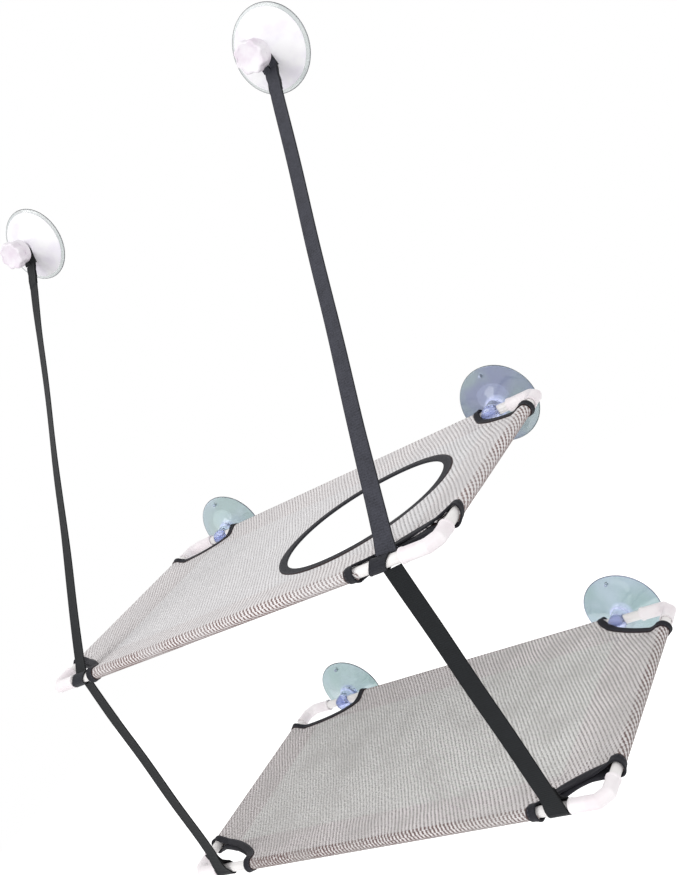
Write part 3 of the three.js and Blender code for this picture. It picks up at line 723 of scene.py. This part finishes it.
def shelf_cloth(tier):
    """The cloth of one shelf as one folded sheet: panel, hems round the tubes, flaps below, corners and hole cut out.

    Returned with the two sides of its unfolded sheet, and with its area, in metres.
    """
    left, right = SIDE_HEMS[tier]
    columns = cloth_line(-HALF_WIDTH, HALF_WIDTH, left, right)
    rows = cloth_line(-DEPTH, 0, FRONT_HEM, BACK_HEM)

    def sag(x, y):
        """The panel hangs a little between its seams."""
        u = (x + HALF_WIDTH - left) / (2 * HALF_WIDTH - left - right)
        v = (y + DEPTH - FRONT_HEM) / (DEPTH - FRONT_HEM - BACK_HEM)
        return -16 * SAG * u * (1 - u) * v * (1 - v) if 0 < u < 1 and 0 < v < 1 else 0

    def place(column, row):
        """Where the cloth lies at a column and a row."""
        x, z_x, _, layer_x = column
        y, z_y, _, layer_y = row
        if TURN in (layer_x, layer_y):
            return Vector((x, y, z_x if layer_x == TURN else z_y))
        corner = nearest_corner(x, y)
        a, b = HALF_WIDTH - abs(x), min(-y, y + DEPTH)
        tip = FLAP if layer_x or layer_y else SEAM
        z = max(loop_height(away, hem, SLEEVE_R, tip) for away, hem in zip((a, b), bound_hems(tier, *corner, a, b)))
        if layer_x or layer_y:
            z = -z - (under_lap(tier, corner[1], a) if layer_y else 0)
        else:
            # The panel lies level at the tape round the hole
            z += sag(x, y) * (smooth(hole_share(x, y, 0), 1.12, 1.6) if tier == "upper" else 1)
        return Vector((x, y, z))

    shape = bmesh.new()
    keys = [shape.verts.layers.float.new(key) for key in ("across", "along", "hem", "turn", "under")]
    grid = {}
    for i, column in enumerate(columns):
        for j, row in enumerate(rows):
            if column[3] and row[3]:
                continue
            point = place(column, row)
            panel = -HALF_WIDTH + left < point.x < HALF_WIDTH - right and -DEPTH + FRONT_HEM < point.y < -BACK_HEM
            turn = TURN in (column[3], row[3])
            grid[i, j] = shape.verts.new(point)
            # The under mark grows down the underside of a turn, where painted shade darkens the cloth
            for key, value in zip(keys, (column[2], row[2], not panel, turn, smooth(-point.z, -1, 5) if turn else 0)):
                grid[i, j][key] = value
    for i in range(len(columns) - 1):
        for j in range(len(rows) - 1):
            corners = [grid.get(key) for key in ((i, j), (i + 1, j), (i + 1, j + 1), (i, j + 1))]
            if None not in corners:
                shape.faces.new(corners)

    gone = []
    for face in shape.faces:
        x, y, z = face.calc_center_median()
        if cut_share(tier, x, y, z, EDGE_SET) < 1 or tier == "upper" and hole_share(x, y, EDGE_SET) < 1:
            gone.append(face)
    bmesh.ops.delete(shape, geom=gone, context="FACES")
    bmesh.ops.delete(shape, geom=[v for v in shape.verts if not v.link_faces], context="VERTS")
    # The ragged edge that is left is drawn onto the line of the cut
    for vertex in shape.verts:
        if not vertex.is_boundary:
            continue
        x, y, z = vertex.co
        share = cut_share(tier, x, y, z, EDGE_SET)
        if share < 1.6:
            edge, end, *_, power = cut_at(tier, x, y, z)
            pull = share ** (-1 / power)
            vertex.co = Vector((edge + (x - edge) * pull, end + (y - end) * pull, z))
        elif tier == "upper" and hole_share(x, y, EDGE_SET) < 1.15:
            pull = 1 / hole_share(x, y, EDGE_SET)
            vertex.co = Vector((HOLE["x"] + (x - HOLE["x"]) * pull, HOLE["y"] + (y - HOLE["y"]) * pull, z))
    bmesh.ops.recalc_face_normals(shape, faces=shape.faces)
    piece = from_shape(f"{tier}_shelf_cloth", shape)
    area = sum(face.area for face in piece.data.polygons) * MM * MM
    apply_modifier(piece, "SOLIDIFY", thickness=CLOTH_T, offset=0)
    return piece, [(line[-1][2] - line[0][2]) * MM for line in (columns, rows)], area


# Cross-section of the tape folded over a cut-out: distance in from its edge, and height over the cloth, which is below
# 0 on its inner fold
FOLDED_TAPE = [(-0.7, -1.0), (-0.95, -0.2), (-0.9, 0.6), (-0.4, 1.15), (0.8, 1.35), (3, 1.3), (6, 1.25), (8, 1.3),
               (9.3, 1.2), (10, 0.7), (10, -1.3), (9.3, -1.8), (8, -1.9), (6, -1.85), (3, -1.9), (0.8, -1.9),
               (-0.2, -1.7)]
# The same for the tape round the hole
HOLE_TAPE = [(-0.6, 0), (-0.3, -0.9), (0.8, -1.3), (3, -1.25), (6, -1.2), (9, -1.25), (10.6, -1.0), (11, -0.5),
             (10.7, -0.15), (11, 0.5), (10.6, 1.0), (9, 1.25), (6, 1.2), (3, 1.25), (0.8, 1.3), (-0.3, 0.9)]


def corner_tape(name, tier, row, side):
    """Tape folded over the edge of a corner cut-out: along its top, round one tube, back below, round the other."""
    sign = SIDES[side]
    reach_x, reach_y, power, slant = CUTS[f"{tier}_{row}_{side}"]
    outside = SLEEVE_R + CLOTH_T / 2
    tip = SEAM + CLOTH_T / 2
    quarter = math.pi / 2
    *_, width, fold = BOUND[f"{tier}_{row}_{side}"]
    flaps = hems_at(tier, row, side)
    outline = [(inset * (width if over > 0 else fold) if inset > 1 else inset, over) for inset, over in FOLDED_TAPE]
    # How far the rim stands out over a tube, and how fast that fades inwards
    rim_flare, fade = 1.5, 3
    # The inner fold isn't made shorter than this, and otherwise ends this far before the flaps do
    least_fold, hidden = 8, 3
    run_steps, turn_steps = 44, 16

    def edge_at(angle, below):
        """A point of the cut-out's edge, as distances from the corner."""
        return Vector((reach_x * math.cos(angle) ** (2 / power),
                       (reach_y - slant * below) * math.sin(angle) ** (2 / power)))

    def spot(angle, part, inset, over):
        """A point of the tape: part 0 is its top run, 1 the turn round the side tube, 2 below, 3 round the end tube."""
        flare = rim_flare * math.exp(-max(inset, 0) / fade)
        if part in (0, 2):
            below = part / 2
            rim = edge_at(angle, below)
            step = edge_at(min(angle + 0.02, quarter), below) - edge_at(max(angle - 0.02, 0), below)
            # The tape runs square to the edge, and along the tube where it comes to one
            square = min(min(angle, quarter - angle) / 0.25, 1)
            out = Vector((-step.y, step.x)).normalized() if step.length > 1e-6 else Vector((1, 0))
            out = -out if out.x + out.y < 0 else out
            straight = Vector((0, 1)) if angle > quarter / 2 else Vector((1, 0))
            out = (out * square + straight * (1 - square)).normalized()
            # No inner fold shows past the edges of the flaps below
            while over < 0 and inset > least_fold and all(r + o * inset > flap - hidden
                                                          for r, o, flap in zip(rim, out, flaps)):
                inset -= 0.5
            a, b = (max(place, 0) for place in rim + out * inset)
            height = max(loop_height(away, hem, outside, tip)
                         for away, hem in zip((a, b), bound_hems(tier, row, side, a, b)))
            # Near a tube the folds lie closer and their rims stand out
            near = math.exp(-min(a, b) / 9)
            height += (over if over > 0 else over * (1 - 0.45 * near)) + flare * near
            if over < 0:
                # The inner fold stays on its own side of the shelf's plane
                height = max(height, 0.12)
            elif part == 2:
                height += under_lap(tier, side, a)
            return Vector((a, b, height if part == 0 else -height))
        radius = outside + (over if over > 0 else over * 0.55) + flare
        swing = Vector((-math.sin(angle) * radius, 0, math.cos(angle) * radius))
        if part == 1:
            return Vector((swing.x, reach_y + inset - slant * (1 - math.cos(angle)) / 2, swing.z))
        return Vector((reach_x + inset, swing.x, swing.z))

    # Marks are closer near both ends of a run, where the edge bends most
    run = [0.5 * math.cos(math.pi * i / run_steps) for i in range(run_steps)]
    half_turn = [i / turn_steps for i in range(turn_steps)]
    line = [*((quarter * (0.5 - mark), 0) for mark in run), *((math.pi * way, 1) for way in half_turn),
            *((quarter * (0.5 + mark), 2) for mark in run), *((math.pi * (1 - way), 3) for way in half_turn)]
    corner = Vector((sign * HALF_WIDTH, -GLASS + ROWS[row], TIERS[tier]))
    flip = Vector((-sign, -1 if row == "back" else 1, 1))
    rings, length, before = [], 0.0, spot(*line[0], TAPE_W / 2, 0)
    for angle, part in line:
        centre = spot(angle, part, TAPE_W / 2, 0)
        length += (centre - before).length
        before = centre
        rings.append([(corner + flip * spot(angle, part, inset, over), inset / width, length)
                      for inset, over in outline])
    return woven(name, rings, closed_path=True)


def hole_tape():
    """Tape folded over the rim of the oval hole."""
    steps, mean_radius = 160, 93
    rings = []
    turn = Matrix.Rotation(HOLE["turn"], 3, "Z")
    middle = Vector((HOLE["x"], -GLASS + HOLE["y"], 0.3))
    for i in range(steps):
        angle = 2 * math.pi * i / steps
        rim = turn @ Vector((HOLE["long"] * math.cos(angle), HOLE["short"] * math.sin(angle), 0))
        out = turn @ Vector((math.cos(angle) / HOLE["long"], math.sin(angle) / HOLE["short"], 0)).normalized()
        centre = middle + rim + UP * (0.5 * math.sin(3 * angle + 1))
        rings.append([(centre + out * inset + UP * over, inset, mean_radius * angle) for inset, over in HOLE_TAPE])
    return woven("hole_tape", rings, closed_path=True)


def stitches(tier):
    """Rows of thread along the seams of a shelf's hems."""
    left, right = SIDE_HEMS[tier]
    shape = bmesh.new()
    pitch, length, radius, inset = 5.0, 3.4, 0.28, 2.5
    above = SEAM + CLOTH_T / 2 + 0.5
    x0, x1 = -HALF_WIDTH + left - inset, HALF_WIDTH - right + inset
    y0, y1 = -DEPTH + FRONT_HEM - inset, -BACK_HEM + inset
    rows = [(Vector((x0, y, 0)), Vector((x1, y, 0))) for y in (y0, y1)]
    rows += [(Vector((x, y0, 0)), Vector((x, y1, 0))) for x in (x0, x1)]
    for start, end in rows:
        along = (end - start).normalized()
        for i in range(int((end - start).length / pitch)):
            centre = start + along * (pitch * (i + 0.5))
            if cut_share(tier, centre.x, centre.y, 0, TAPE_W + 2) < 1:
                continue
            centre.z = above
            turn = along.to_track_quat("Z", "Y").to_matrix().to_4x4()
            made = bmesh.ops.create_cone(shape, segments=6, radius1=radius, radius2=radius, depth=length,
                                         cap_ends=True, matrix=Matrix.Translation(centre) @ turn)
            # Each stitch dips into the cloth at both ends
            for vertex in made["verts"]:
                away = (vertex.co - centre).dot(along)
                vertex.co -= UP * (0.5 * (2 * away / length) ** 2)
    return from_shape(f"{tier}_hem_stitches", shape)


def dress_shelf(tier):
    """Cloth, stitches and tapes of one shelf."""
    body = f"{tier}_shelf"
    base = Vector((0, -GLASS, TIERS[tier]))
    sheet, flat, area = shelf_cloth(tier)
    cloth = finished(sheet, cloth_mesh[tier], body, [f"{tier}_mesh_shelf"], 60, base)
    sewn = [finished(stitches(tier), sewing_thread, body, (), 60, base)]
    for row in ROWS:
        for side in SIDES:
            piece = corner_tape(f"{tier}_{row}_{side}_tape", tier, row, side)
            sewn.append(finished(piece, binding_tape, body, [f"{tier}_{row}_{side}_binding"], 60))
    if tier == "upper":
        sewn.append(finished(hole_tape(), binding_tape, body, ["hole_binding"], 60))
    # The flat cut is the unfolded sheet: its panel with the hems on all four sides, less the corners and the hole
    print(f"{tier} cloth: {flat[0]:.3f} x {flat[1]:.3f} m, {area:.4f} m2")


# Suction cups, covers and knobs

CUP_R, RIM_W, BOLT_R = 47.5, 1.3, 3.35
CUP_HOLLOW = [(1.5, 5.0), (14, 4.9), (26, 4.0), (36, 2.2), (41.5, 0.7), (44.2, 0.0)]
CUP_RIM = [(46.1, 0.0), (47.1, 0.2), (CUP_R, 0.8), (47.3, 1.3)]
CUP_FACE = [(46.7, 1.55), (38.9, 3.1), (29.4, 5.9), (19.6, 9.7), (13.6, 12.9), (10.8, 15.2)]
# Hollow side, rim and outer face of a cup, from the middle of the hollow to the shoulder
CUP_PROFILE = [*smooth_points(CUP_HOLLOW, 5), *CUP_RIM, *smooth_points(CUP_FACE, 6)]
RELEASE_TAB = [(2.0, 1.2), (2.9, 2.6), (2.3, 3.4), (2.1, 6.4), (1.9, 7.6), (1.3, 8.3), (0.5, 8.6)]


def mark_thickness(piece):
    """Notes how thick the vinyl is at each point, from 0 in the skirt to 1 in the neck, and where its rim is."""
    marks = {"thickness": [], "rim": []}
    for vertex in piece.data.vertices:
        radius, depth = math.hypot(vertex.co.x, vertex.co.z), -vertex.co.y
        thick = limited(1.25 - radius / 26) if depth > 5 or radius < 20 else 0.0
        marks["thickness"].append(0.8 if depth > 4 and radius > 35 else thick)
        marks["rim"].append(limited(radius - CUP_R + RIM_W))
    for key, values in marks.items():
        piece.data.attributes.new(key, "FLOAT", "POINT").data.foreach_set("value", values)
    return piece


def bored(piece, radius, *depths):
    """A piece with a round hole into it, between two distances from the glass."""
    return combine(piece, drawn("bore", [(ROOM * depth, ROOM, radius) for depth in depths], 24), "DIFFERENCE")


def shelf_cup():
    """Pressed vinyl cup with a blunt neck that a tube passes through, and a release tab near the rim's top."""
    neck = [(10.5, 17), (10.5, 32.6), (10.1, 34.2), (9.2, 35.4), (7.8, 36.1), (5, 36.35), (1.5, 36.35)]
    piece = turned("shelf_cup", [*CUP_PROFILE, *neck])
    combine(piece, drawn("bore", [(Vector((x, -GLASS, 0)), EAST, 5.85) for x in (-15, 15)], 40), "DIFFERENCE")
    foot = UP * 39
    combine(piece, drawn("tab", [(foot + ROOM * depth, ROOM, radius) for radius, depth in RELEASE_TAB], 20), "UNION")
    return mark_thickness(piece)


def top_cup():
    """The same cup with a short neck that holds the bolt."""
    piece = turned("top_cup", [*CUP_PROFILE, (10.2, 15.0), (9.4, 15.0), (1.5, 15.0)])
    return mark_thickness(bored(piece, BOLT_R, 8.65, 18))


def cup_cover():
    """Domed cover with a rolled rim and a raised boss for the strap's eye."""
    under = smooth_points([(12.3, 15.3), (18, 11.2), (28, 6.9), (36.5, 4.2), (42, 2.9)], 5)
    over = smooth_points([(43, 3.9), (37, 6.2), (28.5, 9.1), (18.6, 13.6), (13.2, 17.1)], 5)
    boss = [(11.6, 18.3), (11, 19.4), (11, 20.6), (10.6, 21), (BOLT_R, 21)]
    return turned("cup_cover", [(BOLT_R, 15.3), *under, (42.8, 2.8), (43.3, 3.2), *over, *boss], 72, closed=True)


def screw_knob():
    """Screw knob: a hub, a plain barrel and a scalloped grip with a dished face."""
    hub = [(1.5, 25.5), (8.7, 25.5), (9, 25.9), (9, 28)]
    barrel = [(14.4, 28), (15.2, 28.4), (15.5, 29.2), (15.5, 37.6), (15.9, 38)]
    grip = [(17.2, 38.1), (17.8, 38.6), (18, 39.4), (18, 48.2), (17.7, 49.2), (16.9, 49.9), (15.6, 50), (13.6, 49.6),
            (12.4, 49.1), (6, 48.9), (1.5, 48.9)]
    piece = turned("knob", [*hub, *barrel, *grip], 96)
    scallops, half_depth = 8, 1.15
    for vertex in piece.data.vertices:
        radius = math.hypot(vertex.co.x, vertex.co.z)
        if radius > 15 and -vertex.co.y > 37.8:
            angle = math.atan2(vertex.co.z, vertex.co.x)
            share = 1 - half_depth * (1 - math.cos(scallops * angle)) / radius
            vertex.co.x *= share
            vertex.co.z *= share
    return bored(piece, BOLT_R, 20, 45.35)


def cups_and_knobs():
    """All cups, covers and knobs from one model of each kind, and the bolts in their metal."""
    def copied(model, name, look, body, node, angle, place):
        made = model.copy()
        made.data = model.data.copy()
        made.name = name
        bpy.context.scene.collection.objects.link(made)
        finished(made, look, body, [node], angle, place)

    models = shelf_cup(), top_cup(), cup_cover(), screw_knob()
    cup, short_cup, cover, knob = models
    for side, sign in SIDES.items():
        for tier, height in TIERS.items():
            copied(cup, f"{tier}_{side}_suction_cup", vinyl[f"{tier}_{side}"], "window_mounts",
                   f"{tier}_shelf_{side}_cup", 50, Vector((sign * CUP_X[tier], 0, height)))
        place = Vector((sign * CUP_X["top"], 0, HANG))
        copied(short_cup, f"top_{side}_suction_cup", vinyl["top"], "window_mounts", f"top_{side}_cup",
               50, place)
        copied(cover, f"top_{side}_cup_cover", moulded_abs, "window_mounts", f"top_{side}_cover",
               40, place)
        copied(knob, f"{side}_screw_knob", moulded_nylon_painted_shade, f"{side}_knob", f"{side}_knob", 40, place)
        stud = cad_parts[f"top_{side}_stud"]
        stud.data.materials.clear()
        stud.data.materials.append(steel)
    for model in models:
        bpy.data.objects.remove(model)


# Straps

# How the webbing twists from top to foot: share of the run, and degrees from the shelf's width towards the glass
TWISTS = {
    "upper_right": [(0, -12), (0.5, -9), (0.75, -2), (0.88, 5), (1, 17)],
    "upper_left": [(0, -8), (0.07, -11), (0.22, -21), (0.42, -23), (0.6, -18), (0.8, -10), (1, -6)],
    "lower_right": [(0, 12), (0.4, 8), (1, 4)],
    "lower_left": [(0, -9), (0.2, -7), (1, -6)],
}
# The hanging strap's eye on the bolt: its place in front of the glass, and how far its knee hangs below it
EYE_Y, EYE_DROP = -23.25, 20
# How far the straps and their turn lie from the middle of the width where they meet the tubes
UPPER_FOOT = {"left": -239, "right": 235.5}
HITCH_X = {"left": -240.5, "right": 225.5}
LINK_TOP = {"left": -233.5, "right": 235.8}
LINK_FOOT = {"left": -235.5, "right": 241}
# How much wider the foot of each lower strap spreads, and to which side
LINK_FLARE = {"left": 6.5, "right": -4}
# How far the foot of each lower strap has slid sideways on its tube
LINK_SLIDE = {"left": -5, "right": 0}


def laid_across(name, share, along):
    """Across and face directions of a run of webbing at a share of it, square to its length."""
    marks = TWISTS[name]
    share = min(max(share, 0), 1)
    (first, start), (second, end) = next(pair for pair in zip(marks, marks[1:]) if share <= pair[1][0])
    angle = math.radians(start + (end - start) * smooth(share, first, second))
    across = Vector((math.cos(angle), math.sin(angle), 0))
    across = (across - along * across.dot(along)).normalized()
    face = across.cross(along).normalized()
    return across, face if face.y < 0 else -face


def joined(parts, name):
    """Parts of one piece put together under its name."""
    bpy.ops.object.select_all(action="DESELECT")
    for part in parts:
        part.select_set(True)
    bpy.context.view_layer.objects.active = parts[0]
    bpy.ops.object.join()
    piece = bpy.context.object
    piece.name = name
    return piece


def strap_eye(side, eye, lean):
    """Two gathered strands that come up from the strap's knee and meet over the bolt."""
    ring_r = 6.3
    arch = [Vector((-math.cos(math.pi * i / 6), 0, math.sin(math.pi * i / 6))) * ring_r for i in range(7)]
    legs = [[lean + Vector((x * 5.2, 0.5, -EYE_DROP)), lean * 0.6 + Vector((x * 5.6, 0.3, -13)),
             Vector((x * 6.2, 0, -6))] for x in (-1, 1)]
    line = smooth_points([*legs[0], *arch, *reversed(legs[1])], 4)
    stations = []
    for i, point in enumerate(line):
        along = (line[min(i + 1, len(line) - 1)] - line[max(i - 1, 0)]).normalized()
        low = limited(-point.z / EYE_DROP)
        stations.append((eye + point, along.cross(ROOM).normalized(), ROOM, 5.0 + 5.4 * low, 3.6 - 0.6 * low))
    return woven(f"{side}_strap_eye", strap_rings(stations))


def upper_strap(side, sign):
    """Hanging strap: gathered round the bolt, doubled and stitched below it, then a single run to the front tube."""
    eye = Vector((sign * CUP_X["top"], EYE_Y, HANG))
    lean = EAST * (-5 if side == "left" else 0)
    knee = eye + lean - UP * EYE_DROP
    foot = Vector((UPPER_FOOT[side], FRONT_Y, 0))
    down = (foot - knee).normalized()
    # The run ends on the outside of the turn round the tube. It is stitched double at first, wanders a little between
    # its seams, and widens at its foot, where the tube flattens it
    turn_r, sewn_to, widened, waver = 7.4, 30.5, 14, 0.5
    length = (foot - down * turn_r - knee).length
    marks = [0, 1.5, 6, 12, 20, 28, sewn_to, 31.5, 34, *range(45, int(length) - 30, 14), length - 26, length - 16,
             length - 8, length - 3, length]
    stations = []
    for mark in marks:
        share = mark / length
        across, face = laid_across(f"upper_{side}", share, down)
        doubled = mark <= sewn_to
        width = WEB_W + (1.2 * math.sin(mark * 0.4) if doubled else 0) + 2.5 * max(0.0, (mark - length) / widened + 1)
        aside = face * (waver * math.sin(share * 17 + sign)) if sewn_to < mark < length - 10 else Vector()
        stations.append((knee + down * mark + aside, across, face, width, 2 * WEB_T + 0.1 if doubled else WEB_T))
    run = woven(f"{side}_strap_run", strap_rings(stations))
    piece = joined([run, strap_eye(side, eye, lean)], f"{side}_hanging_strap")
    # Painted shade: the left strap is drawn in the darker webbing, as it hangs turned from the light
    finished(piece, webbing_darker if side == "left" else webbing_face, "window_mounts",
             [f"{side}_upper_strap"], 50)
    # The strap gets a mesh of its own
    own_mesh(piece)


def hitch(side):
    """Turn of webbing wound aslant round the upper front tube, a little slack below and flared at the top."""
    middle = Vector((HITCH_X[side], FRONT_Y, 0))
    # Radius of its middle line, half its width, how far it winds along the tube, and its length round the tube
    radius, half_width, wound, around = 6.5, 10.6, 4.5, 44
    rings, steps = [], 56
    for i in range(steps):
        angle = 2 * math.pi * i / steps
        slack = 1.5 * max(0.0, -math.sin(angle - 0.5)) ** 2
        top = max(0.0, math.sin(angle)) ** 3
        face = Vector((0, math.cos(angle), math.sin(angle)))
        centre = middle + face * (radius + slack) + EAST * (wound * math.sin(angle))
        across = EAST * (half_width + 1.2 * top)
        rings.append([(centre + across * a + face * (t * WEB_T / 2 + 0.5 * top * abs(a) ** 3), a * WEB_W / 2,
                       around * i / steps) for a, t in WEB_OUTLINE])
    piece = woven(f"{side}_strap_turn", rings, closed_path=True)
    finished(piece, webbing_turn_painted_shade, "upper_shelf", [f"{side}_strap_hitch"], 50)


# Radius of a lower strap's loop round its tube, and the loop's back above it: places from the tube's axis towards the
# glass and up, and the tilt of the webbing's face there
LOOP_R = 6.9
SEWN_END = [(LOOP_R, 2, 0.2), (4.9, 6.5, 0.7), (0.9, 10.6, 0.9), (-2.6, 15, 0.5), (-4.1, 20.5, 0.1), (-4.3, 27, 0)]


def lower_strap(side, sign):
    """Second strap: from inside the turn below the upper tube down to a sewn loop on the lower front tube."""
    foot = Vector((LINK_FOOT[side], FRONT_Y, -DROP))
    slide, spread = LINK_SLIDE[side], LINK_FLARE[side]
    start = Vector((LINK_TOP[side], FRONT_Y - 0.5, -7.2))
    touch = foot + Vector((0, -LOOP_R, 3))
    down = (touch - start).normalized()
    length = (touch - start).length
    stations = []
    for mark in (0, 2, 12, 30, *range(46, int(length) - 30, 16), length - 27, length - 18, length - 9, length - 3):
        across, face = laid_across(f"lower_{side}", mark / length, down)
        waver = face * (0.4 * math.sin(mark * 0.05 + sign))
        flare = spread * 0.8 * smooth(mark, length - 16, length)
        bend = EAST * (slide * smooth(mark, length - 34, length - 3))
        centre = start + down * mark + waver + bend + across * (flare / 2)
        stations.append((centre, across, face, WEB_W + abs(flare), WEB_T))
    # Loop round the lower tube: down its front, under, up the back, and sewn to the run above the tube
    turns = [math.radians(172 + 188 * i / 32) for i in range(33)]
    faces = [Vector((0, math.cos(angle), math.sin(angle))) for angle in turns]
    line = [(face * LOOP_R, face) for face in faces]
    line += [(Vector((0, y, z)), Vector((0, 1, tilt)).normalized()) for y, z, tilt in SEWN_END]
    for i, (point, face) in enumerate(line):
        flare = spread * (1 - smooth(i, 12, 24))
        stations.append((foot + point + EAST * (slide + flare / 2), EAST, face, WEB_W + 0.3 + abs(flare), WEB_T))
    piece = woven(f"{side}_linking_strap", strap_rings(stations))
    finished(piece, webbing_darker, f"{side}_lower_strap", [f"{side}_lower_strap"], 50)


for tier in TIERS:
    frame_pieces(tier)
cups_and_knobs()
for tier in TIERS:
    dress_shelf(tier)
for side, sign in SIDES.items():
    upper_strap(side, sign)
    hitch(side)
    lower_strap(side, sign)
